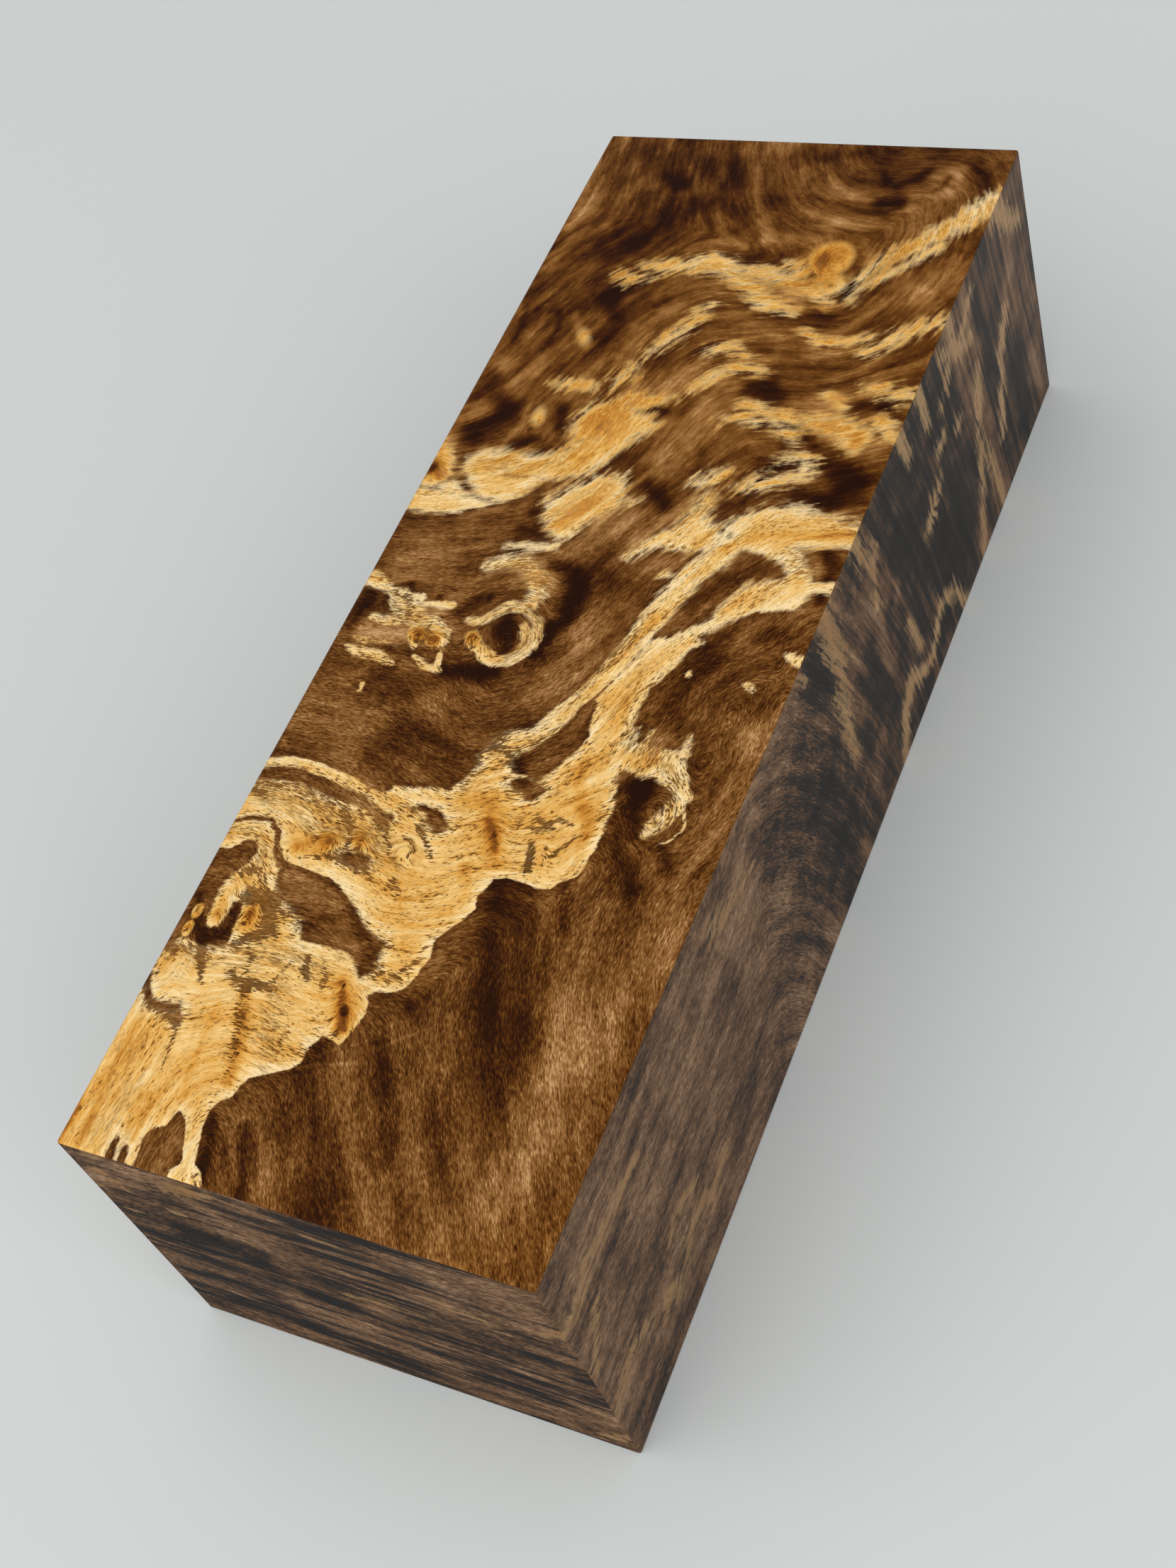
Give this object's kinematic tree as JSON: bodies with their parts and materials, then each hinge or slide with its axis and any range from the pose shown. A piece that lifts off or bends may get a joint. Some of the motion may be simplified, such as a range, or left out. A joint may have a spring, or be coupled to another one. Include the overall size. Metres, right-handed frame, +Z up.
{
  "type": "maple burl block",
  "caption": "Rectangular blank of figured maple burl with crisp sawn edges, a polished upper face and a saw-marked end, lying on its large face.",
  "frame": {"origin": "middle of the underside's bounding rectangle, on the surface that the blank rests on", "axes": "+Z up, through the blank's thickness; +Y along its length from the near (saw-marked) end to the far end; +X to the right-hand side as seen from the near end"},
  "size_m": [0.045, 0.1262, 0.0321],
  "materials": {
    "burl_wood": "polished dark brown burl with cream and honey veins; sawn at the ends"
  },
  "bodies": {
    "root": {"burl_blank": "burl_wood"}
  },
  "joints": []
}
